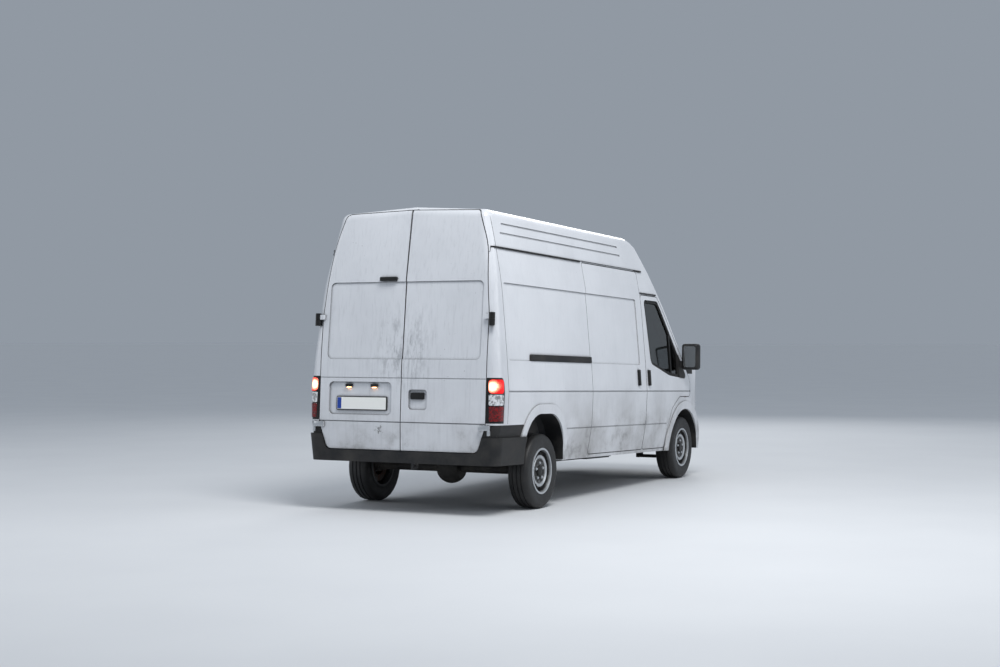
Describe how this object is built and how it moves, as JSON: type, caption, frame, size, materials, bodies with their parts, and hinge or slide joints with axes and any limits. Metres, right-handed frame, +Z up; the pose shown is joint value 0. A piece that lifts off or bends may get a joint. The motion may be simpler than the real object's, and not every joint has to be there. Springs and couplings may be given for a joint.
{
  "type": "panel van",
  "caption": "Long high-roof panel van with hinged cab doors and rear doors, a sliding side door, steered front wheels and a live rear axle on leaf springs.",
  "frame": {"origin": "centre of the van's bounding box, on the road", "axes": "+X forward, +Y to the van's left, +Z up"},
  "size_m": [5.7038, 2.39, 2.7949],
  "materials": {
    "white_paint": "white enamel, grimy with road film",
    "black_plastic": "grained moulded plastic",
    "window_glass": "tinted safety glass",
    "lamp_lens": "clear lens over a bright reflector",
    "red_lens": "red lens with a clear band",
    "underbody_steel": "grey primer and road dirt",
    "cast_iron": "rough casting",
    "spring_steel": "rolled leaves, lightly rusted",
    "exhaust_steel": "heat-dulled steel tube",
    "seat_fabric": "woven seat cloth",
    "tyre_rubber": "wet black rubber",
    "wheel_silver": "silver wheel paint with brake dust"
  },
  "bodies": {
    "van_body": {"body_side_left": "white_paint", "body_side_right": "white_paint", "bulkhead": "underbody_steel", "chassis_frame": "underbody_steel", "cowl": "black_plastic", "dashboard": "black_plastic", "engine": "cast_iron", "exhaust": "exhaust_steel", "floor_pan": "underbody_steel", "front_bumper": "black_plastic", "front_suspension": "underbody_steel", "front_wing_left": "white_paint", "front_wing_right": "white_paint", "fuel_tank": "black_plastic", "grille_panel": "black_plastic", "headlamps": "lamp_lens", "leaf_springs": "spring_steel", "rail_cover": "black_plastic", "rear_axle": "cast_iron", "rear_bumper": "black_plastic", "roof": "white_paint", "seats": "seat_fabric", "sliding_door": "white_paint", "tail_lamps": "red_lens", "windscreen": "window_glass"},
    "front_door_left": {"front_door_left": "white_paint", "door_glass_left": "window_glass", "mirror_left": "black_plastic"},
    "front_door_right": {"front_door_right": "white_paint", "door_glass_right": "window_glass", "mirror_right": "black_plastic"},
    "rear_door_left": {"rear_door_left": "white_paint"},
    "rear_door_right": {"rear_door_right": "white_paint"},
    "bonnet": {"bonnet": "white_paint"},
    "knuckle_left": {"knuckle_left": "cast_iron"},
    "knuckle_right": {"knuckle_right": "cast_iron"},
    "steering_wheel": {"steering_wheel": "black_plastic"},
    "wheel_front_left": {"tyre_front_left": "tyre_rubber", "rim_front_left": "wheel_silver"},
    "wheel_front_right": {"tyre_front_right": "tyre_rubber", "rim_front_right": "wheel_silver"},
    "wheel_rear_left": {"tyre_rear_left": "tyre_rubber", "rim_rear_left": "wheel_silver"},
    "wheel_rear_right": {"tyre_rear_right": "tyre_rubber", "rim_rear_right": "wheel_silver"}
  },
  "joints": [
    {"name": "front_door_left_hinge", "type": "hinge", "parent": "van_body", "child": "front_door_left", "pos_m": [2.0884, 0.99, 0.89058], "axis": [-0.0279, 0, -0.9996], "range_deg": [0, 70]},
    {"name": "rear_door_left_hinge", "type": "hinge", "parent": "van_body", "child": "rear_door_left", "pos_m": [-2.85605, 0.906, 0.72857], "axis": [-0.0715, 0, -0.9974], "range_deg": [0, 180]},
    {"name": "front_door_right_hinge", "type": "hinge", "parent": "van_body", "child": "front_door_right", "pos_m": [2.0884, -0.99, 0.89058], "axis": [0.0279, 0, 0.9996], "range_deg": [0, 70]},
    {"name": "rear_door_right_hinge", "type": "hinge", "parent": "van_body", "child": "rear_door_right", "pos_m": [-2.85605, -0.906, 0.72857], "axis": [0.0715, 0, 0.9974], "range_deg": [0, 180]},
    {"name": "bonnet_hinge", "type": "hinge", "parent": "van_body", "child": "bonnet", "pos_m": [2.20747, 0, 1.2854], "axis": [0, -1, 0], "range_deg": [0, 55]},
    {"name": "steer_left", "type": "hinge", "parent": "van_body", "child": "knuckle_left", "pos_m": [1.907, 0.74, 0.35], "axis": [0, 0, 1], "range_deg": [-35, 35]},
    {"name": "steer_right", "type": "hinge", "parent": "van_body", "child": "knuckle_right", "pos_m": [1.907, -0.74, 0.35], "axis": [0, 0, 1], "range_deg": [-35, 35]},
    {"name": "steering_wheel_turn", "type": "hinge", "parent": "van_body", "child": "steering_wheel", "pos_m": [1.3234, 0.42, 1.15204], "axis": [0.8695, 0, -0.4939], "range_deg": [-540, 540]},
    {"name": "wheel_front_left_spin", "type": "hinge", "parent": "knuckle_left", "child": "wheel_front_left", "pos_m": [1.907, 0.858, 0.35], "axis": [0, 1, 0], "continuous": true},
    {"name": "wheel_front_right_spin", "type": "hinge", "parent": "knuckle_right", "child": "wheel_front_right", "pos_m": [1.907, -0.858, 0.35], "axis": [0, 1, 0], "continuous": true},
    {"name": "wheel_rear_left_spin", "type": "hinge", "parent": "van_body", "child": "wheel_rear_left", "pos_m": [-1.843, 0.858, 0.35], "axis": [0, 1, 0], "continuous": true},
    {"name": "wheel_rear_right_spin", "type": "hinge", "parent": "van_body", "child": "wheel_rear_right", "pos_m": [-1.843, -0.858, 0.35], "axis": [0, 1, 0], "continuous": true}
  ],
  "couplings": [
    {"joint": "steer_right", "follows": "steer_left", "ratio": 1},
    {"joint": "steering_wheel_turn", "follows": "steer_left", "ratio": -15.4}
  ]
}
